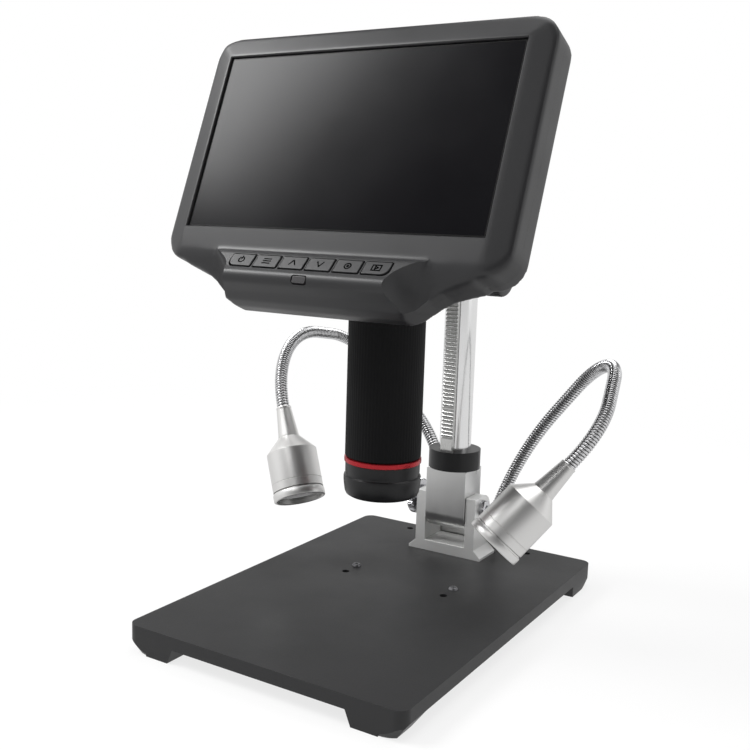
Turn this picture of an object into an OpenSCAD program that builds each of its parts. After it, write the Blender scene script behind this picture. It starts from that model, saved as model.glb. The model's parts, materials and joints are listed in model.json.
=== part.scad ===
// Screen microscope on a stand: base plate, tilting column with a gear rack,
// a head with a 7 inch screen and a vertical lens barrel, and two lamps on goosenecks.
// Millimetres. Origin on the desk under the middle of the base plate.
// X right, Y back, Z up; the screen faces -Y.

/* [Base plate] */
// Width of the plate, left to right
plate_w = 150; // [120:1:220]
// Depth of the plate, front to back
plate_d = 214; // [160:1:260]
// Thickness of the plate
plate_t = 6.5; // [4:0.5:12]
// Height of the corner feet under the plate
foot_h = 7; // [4:0.5:15]
// Radius of its four upright corners
plate_r = 5.5; // [1:0.5:10]
// Length of a foot along X
foot_len_x = 28; // [20:1:40]
// Length of a front foot along Y
foot_front_y = 18; // [15:1:40]
// Length of a rear foot along Y
foot_back_y = 28; // [15:1:40]
// How far a front foot leans in at its side
foot_lean_front = 5; // [0:0.5:8]
// How far a rear foot leans in at its side
foot_lean_back = 1; // [0:0.5:8]
// How far a foot leans in on its inner side
foot_lean_in = 3; // [0:0.5:8]
// Half distance of the stage holes along X
hole_x = 30; // [20:1:50]
// Stage clip hole, distance from the middle along Y
hole_y = 11; // [0:1:40]
// Stage screw, distance from the middle along Y
stage_screw_y = 22; // [10:1:50]
// Diameter of the stage and rear holes
hole_d = 4; // [3:0.5:6]
// Rear hole, distance from the middle along X
rear_hole_x = 39; // [30:1:60]
// Rear hole, distance from the middle along Y
rear_hole_y = 98; // [80:1:100]

/* [Tilt bracket] */
// Distance of the column axis behind the middle of the plate
col_y = 77; // [60:1:90]
// Height of the tilt axis above the desk
tilt_z = 42.5; // [30:0.5:60]
// Inner width between the ears
clevis_gap = 25.5; // [20:0.5:40]
// Thickness of an ear
ear_t = 6; // [4:0.5:10]
// Depth of the bracket, front to back
bracket_d = 20; // [15:1:30]
// Thickness of the web on the plate
web_t = 6.2; // [4:0.2:10]
// Height of the ears above the desk
ear_top = 48.8; // [45:0.2:70]
// Radius of the rear top corner of an ear
ear_r = 8; // [4:0.5:10]
// Reach of the side toes past the ears
toe = 4.25; // [2:0.25:8]
// Diameter of the tilt bolt
bolt_d = 5; // [4:0.5:8]
// Radius of the clamp nut
nut_r = 10.5; // [6:0.5:12]

/* [Column] */
// Width of the tilting block
block_w = 25; // [18:0.5:40]
// Depth of the tilting block
block_d = 20; // [16:0.5:30]
// How far the middle of its round lower end sits below the tilt axis
block_low = 5; // [0:0.5:6]
// Height of the top of the block
block_top = 63.8; // [55:0.2:80]
// Diameter of the column rod
rod_d = 18; // [12:0.5:25]
// Height of the top of the column rod
rod_top = 262; // [220:1:320]
// Diameter of the black collar ring
collar_d = 29.6; // [22:0.2:40]
// Height of the collar ring
collar_h = 11; // [6:0.5:20]
// Width of the gear rack
rack_w = 7; // [4:0.5:12]
// Distance from the column axis to the tips of the rack teeth
rack_tip = 11.6; // [10:0.1:15]
// Pitch of the rack teeth
rack_pitch = 2.2; // [1.5:0.1:4]
// Depth of the rack teeth
tooth_h = 1.1; // [1:0.05:1.5]
// Height of the first tooth
rack_z0 = 82; // [76:1:100]
// Number of teeth on the focus pinion
pin_n = 14; // [12:1:24]

/* [Head on the carriage] */
// Height of the bottom of the carriage
car_z0 = 170; // [150:1:200]
// Height of the carriage
car_h = 36; // [20:1:60]
// Width of the carriage
car_w = 34; // [28:1:50]
// Front face of the carriage, Y
car_front = 36; // [20:1:50]
// Rear face of the carriage, Y
car_back = 93; // [88:1:110]
// Height of the focus shaft
knob_z = 178; // [172:0.5:200]
// Diameter of a focus knob
knob_d = 27; // [18:1:45]
// Length of a focus knob
knob_len = 13; // [8:1:30]
// Width of the camera housing
house_w = 60; // [44:1:80]

/* [Screen] */
// Angle of the screen from upright
tilt_a = 21.5; // [0:0.5:45]
// Middle of the window, Y
win_y = -46.5; // [-80:0.5:0]
// Middle of the window, Z
win_z = 239; // [200:1:280]
// Width of the window
win_w = 157; // [150:1:180]
// Height of the window
win_h = 88; // [70:1:110]
// Border of the screen housing beside the window
bez_side = 11.9; // [11.3:0.1:25]
// Border above the window
bez_over = 12; // [11.5:0.5:25]
// Border below the window, down to the chin
bez_under = 16; // [12:0.5:25]
// Corner radius of the screen housing
bez_r = 12; // [4:1:25]
// Thickness of the screen housing
bez_t = 21.5; // [18:0.5:35]
// Thickness of its front part
front_t = 12; // [8:0.5:18]
// Width of the slope at both sides and at the top of the front
border_w = 11; // [2:0.5:11]
// How far that slope falls back
border_d = 3.4; // [1:0.1:6]
// Depth of the glass behind the front
glass_y = 3.8; // [1:0.1:5.5]
// Wall thickness of the plastic shells
wall = 2.5; // [1.5:0.1:4]
// Width of a button
key_w = 13.2; // [8:0.2:16]
// Height of a button
key_h = 7.6; // [5:0.2:12]
// Pitch of the buttons
key_pitch = 14.2; // [10:0.2:18]
// Travel of a button
key_travel = 0.6; // [0.2:0.1:1.5]

/* [Lens barrel] */
// Diameter of the ribbed focus ring
barrel_d = 38.8; // [30:0.2:50]
// Diameter of the inner barrel tube
tube_d = 32; // [24:0.5:40]
// Barrel axis, Y
barrel_y = -4; // [-20:0.5:20]
// Height of the lower end of the barrel
barrel_z0 = 66; // [40:1:100]
// Height of the lower edge of the red ring
ring_z = 83.2; // [70:0.2:110]
// Height of the red ring
ring_h = 2.2; // [1:0.1:5]
// Top of the ribbed focus ring
sleeve_top = 161; // [140:1:164]

/* [Lamps and goosenecks] */
// Diameter of a gooseneck
neck_d = 7.4; // [5:0.2:9]
// Diameter of a lamp body
lamp_d = 28; // [20:0.5:40]
// Length of the cylindrical part of a lamp body
lamp_len = 22; // [15:0.5:40]
// Length of the lamp bezel ring
lamp_ring = 5; // [3:0.5:10]
// Length of the cone on the back of a lamp
lamp_cone = 8.5; // [4:0.5:20]
// Length of the sleeve over the end of a gooseneck
sleeve_len = 18; // [10:0.5:30]
// Distance of a neck root from the middle
root_x = 16; // [10:1:20]
// Height of the neck mount
mount_h = 15.5; // [10:0.5:30]

/* [Hidden] */
$fn = 48;
eps = 0.05;
fit_r = 0.05;                     // radial clearance of a turning fit
plate_z = foot_h + plate_t;       // top of the plate
foot_turn = 12;                   // width of the rounded corner of a foot
ear_x = clevis_gap / 2;           // inner face of an ear
ear_o = ear_x + ear_t;            // outer face of an ear
br_y0 = col_y - bracket_d / 2 + 1;
br_y1 = br_y0 + bracket_d;
rod_r = rod_d / 2;
spigot_r = rod_r - 2;
rod_z0 = 50;
collar_top = block_top + collar_h;
rack_y = col_y - rack_tip;        // plane of the tooth tips
rack_back = rack_y + 5.1;
flank = 20;                       // pressure angle of rack and pinion
rack_add = 0.45;                  // rack teeth beyond the pitch line
tooth_w = rack_pitch / 2 - 0.1;   // tooth thickness on the pitch line
rack_n = floor((rod_top - 6 - rack_z0) / rack_pitch);
gap_w = rack_pitch - tooth_w + 2 * rack_add * tan(flank);
pitch_r = pin_n * rack_pitch / (2 * PI);
base_r = pitch_r * cos(flank);
pin_r = pitch_r + 0.5;            // outer radius of the pinion
pin_y = rack_y + rack_add - pitch_r;
pin_turn = (rack_z0 + gap_w / 2 - knob_z) / pitch_r * 180 / PI;
shaft_r = 3;
knob_x = car_w / 2 + 3.5;         // inner face of a knob
bez_w = win_w + 2 * bez_side;
bez_up = win_h / 2 + bez_over;    // top and bottom of the slab from the middle of the window
bez_dn = win_h / 2 + bez_under;
chin_h = 19;                      // height of the chin below the slab
key_lean = 25.5;                  // lean of the button face from the screen plane
key_y0 = -1.6;                    // upper edge of the button face, local Y
key_z0 = -bez_dn + 5.5;           // and local Z
key_mid = 7.7;                    // middle of the buttons down that face
key_t = 3;
tube_r = tube_d / 2;
barrel_r = barrel_d / 2;
mount_y0 = 89.2;
mount_y1 = 104.5;
mount_w = 46;
root_y = 98;
root_z = plate_z + mount_h;
neck_r = neck_d / 2;
ferrule_h = 8;
ball_r = neck_r - 0.45;
joint_gap = 1.3;                  // half gap at a neck joint
silver = [0.8, 0.81, 0.82];
steel = [0.7, 0.71, 0.73];
dark = [0.16, 0.16, 0.17];
black = [0.09, 0.09, 0.1];
red = [0.65, 0.12, 0.14];
glass = [0.05, 0.05, 0.06];
green = [0.1, 0.35, 0.2];

// Goosenecks: [lean, heading, first line], then arcs [roll, radius, angle, line after]
left_start = [0, 0, 3];
left_arcs = [[159.5, 61.8, 56.4, 43.9], [108.1, 26, 100.8, 15.7], [332.4, 55.4, 83.2, 1]];
right_start = [18.5, 28.5, 10.9];
right_arcs = [[312.3, 167, 22.7, 19], [319.3, 30.4, 106.2, 19.5], [347.2, 43.7, 49.8, 3.5]];

// ---------- helpers ----------
module box(x0, x1, y0, y1, z0, z1) {
  translate([x0, y0, z0]) cube([x1 - x0, y1 - y0, z1 - z0]);
}
module rod_x(r, x0, x1) { translate([x0, 0, 0]) rotate([0, 90, 0]) cylinder(r = r, h = x1 - x0); }
module rod_y(r, y0, y1) { translate([0, y1, 0]) rotate([90, 0, 0]) cylinder(r = r, h = y1 - y0); }
// profile in X,Z pushed along Y from y0 to y1
module push_y(y0, y1) { translate([0, y1, 0]) rotate([90, 0, 0]) linear_extrude(y1 - y0) children(); }
// profile in Y,Z pushed along X from x0 to x1
module push_x(x0, x1) {
  translate([x0, 0, 0]) rotate([90, 0, 90]) linear_extrude(x1 - x0) children();
}
module rounded(x0, x1, z0, z1, r) {
  union() {
    translate([x0 + r, z0]) square([x1 - x0 - 2 * r, z1 - z0]);
    translate([x0, z0 + r]) square([x1 - x0, z1 - z0 - 2 * r]);
    for (x = [x0 + r, x1 - r], z = [z0 + r, z1 - r]) translate([x, z]) circle(r = r);
  }
}
// frame of the screen housing: local Y = depth behind the front, local Z = up the screen
module slab() { translate([0, win_y, win_z]) rotate([-tilt_a, 0, 0]) children(); }
// frame of the button face: local Y = into the face, local Z = up the face
module key_frame() { translate([0, key_y0, key_z0]) rotate([-key_lean, 0, 0]) children(); }
module keys() { slab() key_frame() children(); }
function slab_y(y, z) = win_y + z * sin(tilt_a) + y * cos(tilt_a);
function slab_z(y, z) = win_z + z * cos(tilt_a) - y * sin(tilt_a);

// ---------- base ----------
// one foot at the front right corner; its lower edge is rounded more than the plate
module foot(len_y, lean) {
  x1 = plate_w / 2; x0 = x1 - foot_len_x; y0 = -plate_d / 2; y1 = y0 + len_y;
  xm = x1 - foot_turn; ym = y0 + foot_turn;
  intersection() {
    push_y(y0, y1 + 1) polygon([[x0, foot_h + 1], [x0, foot_h], [x0 + foot_lean_in, 0],
      [x1 - lean, 0], [x1, foot_h], [x1, foot_h + 1]]);
    push_x(x0, x1) polygon([[y0, foot_h + 1], [y0, 0], [y1 - foot_lean_in, 0],
      [y1, foot_h], [y1, foot_h + 1]]);
    union() {
      box(x0 - 1, xm, y0 - 1, y1 + 1, -1, foot_h + 2);
      box(x0 - 1, x1 + 1, ym, y1 + 1, -1, foot_h + 2);
      translate([xm, ym, 0]) cylinder(r1 = foot_turn - 1, r2 = foot_turn * sqrt(2), h = foot_h + 2);
    }
  }
}
module base_plate() color(dark) difference() {
  intersection() {
    union() {
      box(-plate_w / 2, plate_w / 2, -plate_d / 2, plate_d / 2, foot_h, plate_z);
      for (mx = [0, 1]) mirror([mx, 0, 0]) {
        foot(foot_front_y, foot_lean_front);
        mirror([0, 1, 0]) foot(foot_back_y, foot_lean_back);
      }
    }
    translate([0, 0, -1]) linear_extrude(plate_z + 2)
      rounded(-plate_w / 2, plate_w / 2, -plate_d / 2, plate_d / 2, plate_r);
  }
  for (s = [-1, 1]) {
    translate([s * hole_x, hole_y, foot_h - 1]) cylinder(d = hole_d, h = plate_t + 2);
    translate([s * rear_hole_x, rear_hole_y, foot_h - 1]) cylinder(d = hole_d, h = plate_t + 2);
    translate([s * hole_x, stage_screw_y, foot_h - 1]) cylinder(r = 1.5, h = plate_t + 2);
    translate([s * 8, col_y, foot_h - 1]) cylinder(r = 2.1, h = plate_t + 2);
    translate([s * 8, col_y, foot_h - 1]) cylinder(r = 4, h = 3.5);
  }
}
module stage_screw(s) color(steel) translate([s * hole_x, stage_screw_y, 0]) union() {
  translate([0, 0, foot_h + 0.5]) cylinder(r = 1.5, h = plate_t - 0.5);
  difference() {
    translate([0, 0, plate_z]) cylinder(r1 = 2.6, r2 = 1.9, h = 1.2);
    translate([0, 0, plate_z + 0.5]) cylinder(r = 0.9, h = 1);
  }
}
module bracket() color(silver) difference() {
  union() {
    push_y(br_y0, br_y1) polygon([[-ear_o - toe, plate_z], [ear_o + toe, plate_z],
      [ear_o + toe, plate_z + 1.6], [ear_o, plate_z + 5.4], [ear_o, plate_z + web_t],
      [-ear_o, plate_z + web_t], [-ear_o, plate_z + 5.4], [-ear_o - toe, plate_z + 1.6]]);
    for (s = [0, 1]) mirror([s, 0, 0]) translate([ear_x, 0, 0]) {
      box(0, ear_t, br_y0, br_y1 - ear_r, plate_z + 1, ear_top);
      box(0, ear_t, br_y0, br_y1, plate_z + 1, ear_top - ear_r);
      translate([0, br_y1 - ear_r, ear_top - ear_r]) rod_x(ear_r, 0, ear_t);
    }
  }
  translate([0, col_y, tilt_z]) rod_x(bolt_d / 2, -ear_o - 1, ear_o + 1);
  for (s = [-1, 1]) translate([s * 8, col_y, plate_z - 1]) cylinder(r = 1.9, h = web_t);
}
module bracket_screw(s) color(steel) translate([s * 8, col_y, 0]) union() {
  translate([0, 0, foot_h + 0.4]) cylinder(r = 3.6, h = 2.1);
  translate([0, 0, foot_h + 1]) cylinder(r = 1.9, h = plate_t + web_t - 3);
}
module tilt_bolt() color(steel) translate([0, col_y, tilt_z]) difference() {
  union() {
    rod_x(bolt_d / 2, -ear_o - 8, ear_o + eps);
    rod_x(4.4, ear_o, ear_o + 3);
  }
  translate([ear_o + 1, 0, 0]) rotate([0, 90, 0]) cylinder(r = 1.8, h = 3, $fn = 6);
}
module tilt_nut() color(steel) translate([0, col_y, tilt_z]) difference() {
  union() {
    rod_x(nut_r, -ear_o - 6.2, -ear_o - 1.8);
    rod_x(7, -ear_o - 1.8 - eps, -ear_o);
  }
  rod_x(bolt_d / 2, -ear_o - 7, -ear_o + 1);
}
module neck_mount() color(silver) difference() {
  box(-mount_w / 2, mount_w / 2, mount_y0, mount_y1, plate_z, root_z);
  for (s = [-1, 1]) translate([s * root_x, root_y, root_z - 6]) cylinder(r = 3, h = 8);
  translate([0, 0, plate_z + 9]) rod_y(3.5, mount_y1 - 8, mount_y1 + 1);
}
module lamp_jack() color(black) translate([0, 0, plate_z + 9]) difference() {
  rod_y(3.5, mount_y1 - 8, mount_y1 + 0.8);
  rod_y(2.2, mount_y1 - 5, mount_y1 + 1);
}

// ---------- goosenecks ----------
module root(s) { translate([s * root_x, root_y, root_z]) children(); }
module start(st) { rotate([0, st[0], st[1]]) translate([0, 0, st[2]]) children(); }
// carries the children past arcs 0 .. k-1 of the table
module past(a, k, i = 0) {
  if (i >= k) children();
  else rotate([0, 0, a[i][0]]) translate([a[i][1] * (1 - cos(a[i][2])), 0, a[i][1] * sin(a[i][2])])
    rotate([0, a[i][2], 0]) translate([0, 0, a[i][3]]) past(a, k, i + 1) children();
}
module bend(e) {
  rotate([0, 0, e[0]]) translate([e[1], 0, 0]) mirror([1, 0, 0]) rotate([90, 0, 0])
    rotate_extrude(angle = e[2]) translate([e[1], 0]) circle(r = neck_r - 0.05);
}
module tube(z0, z1) { translate([0, 0, z0]) cylinder(r = neck_r, h = z1 - z0); }
// upper half of a joint: a cup over the ball; lower half: the ball
module ball() { union() { sphere(r = ball_r); translate([0, 0, -joint_gap - 0.5])
  cylinder(r = ball_r - 0.6, h = joint_gap + 0.5); } }
module cup_cut() { sphere(r = ball_r + fit_r); }
function st(s) = s < 0 ? left_start : right_start;
function arcs(s) = s < 0 ? left_arcs : right_arcs;
// joints sit in the middle of the lines after arc 1 and arc 2
module joint(s, k) {
  root(s) start(st(s)) past(arcs(s), k) translate([0, 0, -arcs(s)[k - 1][3] / 2]) children();
}
module neck_ferrule(s) color(steel) root(s) rotate([0, st(s)[0], st(s)[1]])
  difference() {
    translate([0, 0, s > 0 ? 1.6 : 0]) cylinder(r = 4.8, h = ferrule_h - 1.6);
    translate([0, 0, -1]) cylinder(r = neck_r, h = ferrule_h + 3);
  }
module neck_lower(s) color(steel) union() {
  a = arcs(s); l = a[0][3] / 2 - joint_gap;
  root(s) rotate([0, st(s)[0], st(s)[1]]) {
    tube(s > 0 ? 0.9 : 0, st(s)[2] + eps);
    translate([0, 0, st(s)[2]]) bend(a[0]);
  }
  root(s) start(st(s)) past(a, 1) translate([0, 0, -a[0][3]]) tube(-eps, l);
  joint(s, 1) ball();
}
module neck_mid(s) color(steel) union() {
  a = arcs(s);
  joint(s, 1) difference() { tube(0.4, a[0][3] / 2 + eps); cup_cut(); }
  root(s) start(st(s)) past(a, 1) bend(a[1]);
  root(s) start(st(s)) past(a, 2) translate([0, 0, -a[1][3]])
    tube(-eps, a[1][3] / 2 - joint_gap);
  joint(s, 2) ball();
}
module neck_upper(s) color(steel) union() {
  a = arcs(s);
  joint(s, 2) difference() { tube(0.4, a[1][3] / 2 + eps); cup_cut(); }
  root(s) start(st(s)) past(a, 2) bend(a[2]);
  root(s) start(st(s)) past(a, 3) translate([0, 0, -a[2][3]]) tube(-eps, a[2][3] + 6);
}
// frame of a lamp: local Z runs out through the lens, zero at the neck side end of the sleeve
module lamp(s) { root(s) start(st(s)) past(arcs(s), 3) children(); }
lamp_r = lamp_d / 2;
cone_z = sleeve_len;
body_z = cone_z + lamp_cone;
ring_z0 = body_z + lamp_len;
lamp_end = ring_z0 + lamp_ring;
module lamp_head(s) color(silver) lamp(s) difference() {
  union() {
    cylinder(r1 = neck_r + 0.5, r2 = 5.9, h = sleeve_len + eps);
    translate([0, 0, cone_z]) cylinder(r1 = 6.2, r2 = lamp_r, h = lamp_cone);
    translate([0, 0, body_z - eps]) cylinder(r = lamp_r, h = lamp_len + eps);
  }
  translate([0, 0, -1]) cylinder(r = neck_r, h = 7);
  translate([0, 0, body_z + 4]) cylinder(r = lamp_r - 2, h = lamp_len);
}
module lamp_bezel(s) color(silver) lamp(s) difference() {
  union() {
    translate([0, 0, ring_z0]) cylinder(r = lamp_r - 0.5, h = 1.2);
    translate([0, 0, ring_z0 + 1.2 - eps]) cylinder(r = lamp_r + 0.3, h = lamp_ring - 1.2 + eps);
    translate([0, 0, ring_z0 - 3]) cylinder(r = lamp_r - 2, h = 3.5);
  }
  translate([0, 0, ring_z0 - 4]) cylinder(r = lamp_r - 3.4, h = lamp_ring + 5);
  translate([0, 0, lamp_end - 2.2]) cylinder(r = lamp_r - 1.4, h = 3);
}
module lamp_lens(s) color([0.85, 0.88, 0.9]) lamp(s) union() {
  translate([0, 0, lamp_end - 2.2]) cylinder(r = lamp_r - 1.5, h = 1.4);
  translate([0, 0, lamp_end - 5]) cylinder(r = lamp_r - 5, h = 2.8 + eps);
}
module lamp_led(s) color([0.9, 0.85, 0.55]) lamp(s) union() {
  translate([0, 0, body_z + 4]) cylinder(r = lamp_r - 2.4, h = 1.6);
  translate([-2.5, -2.5, body_z + 5.5]) cube([5, 5, 1.6]);
}

// ---------- column ----------
module tilt_block() color(silver) difference() {
  union() {
    box(-block_w / 2, block_w / 2, col_y - block_d / 2, col_y + block_d / 2, tilt_z - block_low,
      block_top);
    translate([0, col_y, tilt_z - block_low]) rod_x(block_d / 2, -block_w / 2, block_w / 2);
  }
  translate([0, col_y, tilt_z]) rod_x(bolt_d / 2 + fit_r, -block_w / 2 - 1, block_w / 2 + 1);
  translate([0, col_y, rod_z0]) cylinder(r = spigot_r, h = block_top);
}
module column_rod() color(silver) difference() {
  union() {
    translate([0, col_y, rod_z0]) cylinder(r = spigot_r, h = block_top - rod_z0 + eps);
    translate([0, col_y, block_top]) cylinder(r = rod_r, h = rod_top - block_top);
  }
  translate([0, col_y, rod_z0 - 1]) cylinder(r = 4, h = rod_top);
  box(-rack_w / 2, rack_w / 2, 0, rack_back, collar_top, rod_top + 1);
}
module gear_rack() color(silver) push_x(-rack_w / 2, rack_w / 2) {
  z1 = rack_z0 + rack_n * rack_pitch;
  polygon(concat([[rack_back, collar_top], [rack_y, collar_top]],
    [for (i = [0:rack_n - 1],
      q = [[0, 0], [tooth_h, tooth_h * tan(flank)], [tooth_h, gap_w - tooth_h * tan(flank)], [0, gap_w]])
      [rack_y + q[0], rack_z0 + i * rack_pitch + q[1]]],
    [[rack_y, z1 + 1], [rack_y, rod_top], [rack_back, rod_top]]));
}
module collar_ring() color(black) difference() {
  translate([0, col_y, block_top]) cylinder(d = collar_d, h = collar_h);
  translate([0, col_y, block_top - 1]) cylinder(r = rod_r, h = collar_h + 2);
  translate([0, 0, block_top + collar_h / 2]) rod_y(2, col_y + 5, col_y + 20);
}
module collar_screw() color(steel) translate([0, 0, block_top + collar_h / 2]) difference() {
  rod_y(2, col_y + rod_r, col_y + collar_d / 2 + 0.6);
  translate([0, col_y + collar_d / 2 + 1, 0]) rotate([90, 0, 0]) cylinder(r = 1, h = 2.4, $fn = 6);
}
module column_cap() color(black) union() {
  translate([0, col_y, rod_top]) cylinder(r = rod_r, h = 2);
  translate([0, col_y, rod_top - 6]) cylinder(r = 4, h = 6 + eps);
}

// ---------- carriage and head ----------
module carriage() color(dark) difference() {
  union() {
    box(-car_w / 2, car_w / 2, 50, car_back, car_z0, car_z0 + car_h);
    box(-car_w / 2 + 4, car_w / 2 - 4, car_front, 50 + eps, car_z0 + 2, car_z0 + car_h);
  }
  translate([0, col_y, car_z0 - 1]) cylinder(r = rod_r + fit_r, h = car_h + 2);
  box(-rack_w / 2 - 0.3, rack_w / 2 + 0.3, rack_y - 0.4, col_y, car_z0 - 1, car_z0 + car_h + 1);
  translate([0, pin_y, knob_z]) rod_x(pin_r + 0.5, -5, 5);
  translate([0, pin_y, knob_z]) rod_x(shaft_r + fit_r, -car_w / 2 - 1, car_w / 2 + 1);
  translate([0, 0, car_z0 + 28]) rod_y(2.5 + fit_r, col_y + rod_r - 2, car_back + 1);
}
module house_side(d) {
  // front edge lies on the rear plane of the screen housing
  za = -bez_dn - 4 + d; zb = -4 - d;
  polygon([[slab_y(bez_t + d, za), slab_z(bez_t + d, za)], [-6, sleeve_top + 3 + d],
    [6, sleeve_top + 7 + d], [car_front - d, car_z0 + 1 + d], [car_front - d, car_z0 + 52 - d],
    [16, car_z0 + 68 - d],
    [slab_y(bez_t + d, zb), slab_z(bez_t + d, zb)]]);
}
module camera_housing() color(dark) difference() {
  push_x(-house_w / 2, house_w / 2) house_side(0);
  push_x(-house_w / 2 + wall, house_w / 2 - wall) house_side(wall);
  translate([0, barrel_y, sleeve_top - 11]) cylinder(r = tube_r, h = 30);
  translate([-house_w / 2, 8, 196]) box(-1, wall + 1, 0, 15.4, 0, 6);
  translate([-house_w / 2, 8, 184]) box(-1, wall + 1, 0, 9, 0, 4);
}
module barrel_tube() color(black) translate([0, barrel_y, 0]) difference() {
  union() {
    translate([0, 0, barrel_z0 + 3]) cylinder(r = tube_r, h = car_z0 + 3 - barrel_z0);
    translate([0, 0, sleeve_top + 0.2]) cylinder(r = barrel_r - 1, h = 1.6);
  }
  translate([0, 0, barrel_z0 + 2]) cylinder(r = 12, h = 120);
}
module lens_group() color(glass) translate([0, barrel_y, 0]) union() {
  translate([0, 0, barrel_z0 + 6]) cylinder(r = 12, h = 4);
  translate([0, 0, barrel_z0 + 9]) cylinder(r = 9, h = 24);
  translate([0, 0, barrel_z0 + 32]) cylinder(r = 12, h = 3);
}
module sensor_board() color(green) translate([0, barrel_y, car_z0 + 6]) union() {
  translate([-19, -19, 0]) cube([38, 38, 1.6]);
  translate([-7, -6, 1.5]) cube([14, 12, 1.2]);
}
module red_ring() color(red) translate([0, barrel_y, ring_z]) difference() {
  cylinder(r = barrel_r + 0.15, h = ring_h);
  translate([0, 0, -1]) cylinder(r = tube_r, h = ring_h + 2);
}
module nose_cap() color(black) translate([0, barrel_y, barrel_z0]) difference() {
  rotate_extrude() polygon([[14, 0], [barrel_r - 2.2, 0], [barrel_r - 0.8, 0.6],
    [barrel_r - 0.2, 2], [barrel_r + 0.3, 7], [barrel_r + 0.3, 10], [barrel_r - 0.6, 12.5],
    [barrel_r - 0.6, ring_z - barrel_z0], [14, ring_z - barrel_z0]]);
  translate([0, 0, 3]) cylinder(r = tube_r, h = 30);
}
module focus_ring() color(black) translate([0, barrel_y, ring_z + ring_h + 0.2]) difference() {
  h = sleeve_top - ring_z - ring_h - 0.2;
  cylinder(r = barrel_r, h = h);
  translate([0, 0, -1]) cylinder(r = tube_r + fit_r, h = h + 2);
}
// front outline of the screen housing with the flared chin
module outline() {
  side = [[45, -chin_h], [49.5, -15], [55.5, -10], [61.5, -6.2], [68, -4], [76, -1.6], [80, 4]];
  n = len(side);
  union() {
    rounded(-bez_w / 2, bez_w / 2, -bez_dn, bez_up, bez_r);
    translate([0, -bez_dn]) polygon(concat(side, [for (i = [1:n]) [-side[n - i][0], side[n - i][1]]]));
  }
}
// front part: both sides and the top slope back from the window, the bottom is flat
module front_part() {
  x1 = bez_w / 2;
  lean = border_d / border_w;
  intersection() {
    push_y(-1, front_t) outline();
    linear_extrude(500, center = true) polygon([[-x1 - 5, front_t + 1], [-x1 - 5, border_d + 5 * lean],
      [-x1 + border_w, 0], [x1 - border_w, 0], [x1 + 5, border_d + 5 * lean], [x1 + 5, front_t + 1]]);
    push_x(-x1 - 1, x1 + 1) polygon([[-2, -bez_dn - 30], [front_t + 1, -bez_dn - 30],
      [front_t + 1, bez_up + 5], [border_d + 5 * lean, bez_up + 5], [-2, bez_up - border_w - 2 / lean]]);
  }
}
// the nose of the chin, which stands out in front with the button face, scooped at both ends
module nose() {
  intersection() {
    push_y(-12, 7) outline();
    translate([0, 0, -bez_dn]) push_x(-60, 60) polygon([[6, 10], [0, 6], [-1.8, 5.1], [-6.6, -5],
      [-8.2, -7.3], [-8.4, -9.8], [-6.8, -12], [-1, -14.6], [4, -17.6], [6, -chin_h]]);
    linear_extrude(500, center = true) polygon([[-60, 6], [-60, 0], [-55.2, 0], [-41, -8.5],
      [41, -8.5], [55.2, 0], [60, 0], [60, 6]]);
  }
}
module front_bezel() color(dark) slab() difference() {
  union() {
    front_part();
    nose();
  }
  // pocket for the panel, open to the back
  box(-win_w / 2 - 5, win_w / 2 + 5, glass_y, front_t + 1, -win_h / 2 - 7, win_h / 2 + 5.5);
  // window
  box(-win_w / 2, win_w / 2, -1, glass_y + 1, -win_h / 2, win_h / 2);
  // room behind the buttons, and the buttons' own holes
  key_frame() {
    box(-44, 44, 2.5, 20, -14.2, -1.2);
    for (i = [0:5]) translate([(i - 2.5) * key_pitch, 0, -key_mid])
      box(-key_w / 2 - 0.3, key_w / 2 + 0.3, -4, 5.5, -key_h / 2 - 0.3, key_h / 2 + 0.3);
  }
  ir_box(-9);
}
// recess and window of the remote control, from y0 back
module ir_box(y0) { box(-4, 4, y0, -4, -bez_dn - 11.6, -bez_dn - 7.6); }
module lcd_panel() color(glass) slab() box(-win_w / 2 - 4, win_w / 2 + 4, glass_y, glass_y + 2.6,
  -win_h / 2 - 6, win_h / 2 + 4.5);
module panel_frame() color(steel) slab() box(-win_w / 2 - 3.5, win_w / 2 + 3.5, glass_y + 2.6,
  glass_y + 6.4, -win_h / 2 - 5.5, win_h / 2 + 4);
module main_board() color(green) slab() union() {
  box(-62, 62, 13, 14.6, -34, 38);
  box(-20, 0, 14.5, 16.5, -10, 10);
  box(-50, -36, glass_y + 6.7, 13.1, -20, 10);
  box(30, 44, glass_y + 6.7, 13.1, -20, 10);
}
module button_board() color(green) keys() union() {
  box(-43.4, 43.4, 6.3, 7.9, -13.6, -1.8);
  for (i = [0:5]) translate([(i - 2.5) * key_pitch, 0, -key_mid]) box(-3, 3, 4.8, 6.4, -3, 3);
}
module ir_window() color([0.25, 0.05, 0.07]) slab() ir_box(-8);
module rear_cover() color(dark) slab() difference() {
  push_y(front_t, bez_t) outline();
  push_y(front_t - 1, bez_t - wall) rounded(-bez_w / 2 + wall, bez_w / 2 - wall, -bez_dn + wall,
    bez_up - wall, bez_r - wall);
  box(-38, 38, front_t - 1, bez_t - wall, -bez_dn - 16, -bez_dn + 8);
  box(-20, 20, front_t, bez_t + 1, -50, -20);
}
module hdmi_port() color(steel) translate([-house_w / 2, 8, 196]) difference() {
  box(-0.2, 11, 0.2, 15.2, 0.2, 5.8);
  box(-1, 9, 1, 14.4, 1, 5);
}
module usb_port() color(steel) translate([-house_w / 2, 8, 184]) difference() {
  box(-0.2, 9, 0.2, 8.8, 0.2, 3.8);
  box(-1, 7, 0.8, 8.2, 0.8, 3.2);
}
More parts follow.
